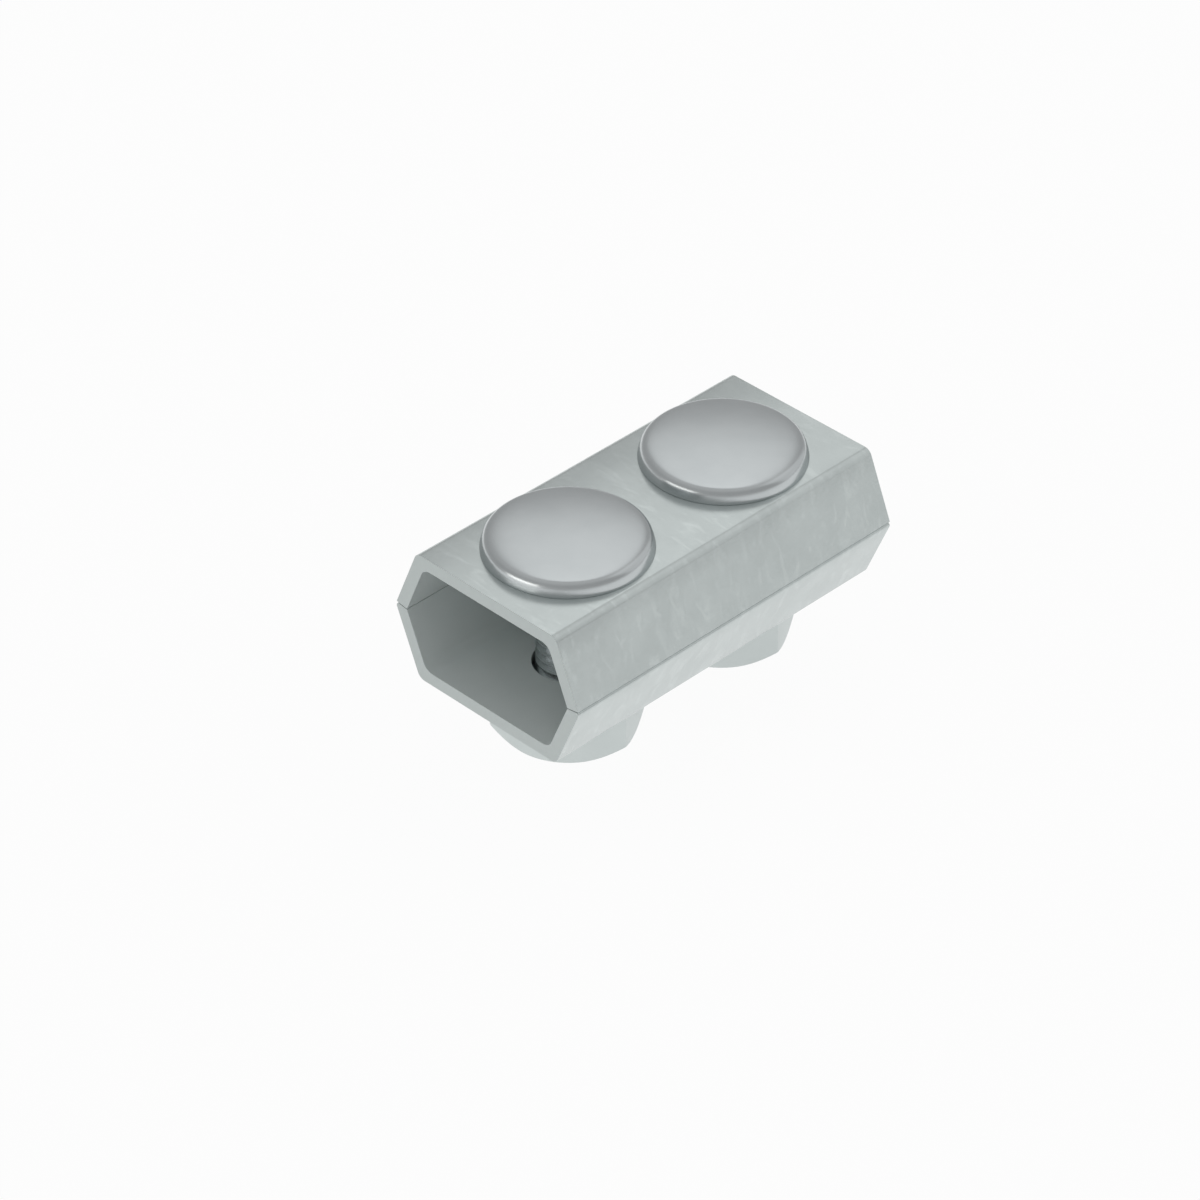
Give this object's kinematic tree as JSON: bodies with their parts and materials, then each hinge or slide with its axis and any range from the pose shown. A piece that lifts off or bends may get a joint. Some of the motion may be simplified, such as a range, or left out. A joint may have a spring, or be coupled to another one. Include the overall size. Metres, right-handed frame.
{
  "type": "earthing connector",
  "caption": "Clamp of facing trapezoid steel channels drawn together by cup-head bolts and hexagon nuts, gripping a round conductor on each side of the bolts.",
  "frame": {"origin": "middle of the footprint, at the height of the bolt tips", "axes": "+Y along the conductors and the shells' length, +X across them, +Z towards the bolt heads"},
  "size_m": [0.0382, 0.0668, 0.0381],
  "materials": {
    "shell_steel": "hot-dip galvanised, satin with faint mottling",
    "bolt_steel": "galvanised, smooth satin",
    "nut_steel": "galvanised, satin"
  },
  "bodies": {
    "lower": {"lower_shell": "shell_steel"},
    "upper": {"upper_shell": "shell_steel", "bolt_front": "bolt_steel", "bolt_rear": "bolt_steel"},
    "front_nut": {"nut_front": "nut_steel"},
    "rear_nut": {"nut_rear": "nut_steel"}
  },
  "joints": [
    {"name": "upper_slide", "type": "slide", "parent": "lower", "child": "upper", "axis": [0, 0, 1], "range_m": [0, 0.0105]},
    {"name": "front_nut_turn", "type": "hinge", "parent": "lower", "child": "front_nut", "pos_m": [0, -0.0165, 0.00725], "axis": [0, 0, -1], "range_deg": [0, 2520]},
    {"name": "rear_nut_turn", "type": "hinge", "parent": "lower", "child": "rear_nut", "pos_m": [0, 0.0165, 0.00725], "axis": [0, 0, -1], "range_deg": [0, 2520]}
  ],
  "couplings": [
    {"joint": "front_nut_turn", "follows": "upper_slide", "rad_per_m": 4188.8},
    {"joint": "rear_nut_turn", "follows": "upper_slide", "rad_per_m": 4188.8}
  ]
}
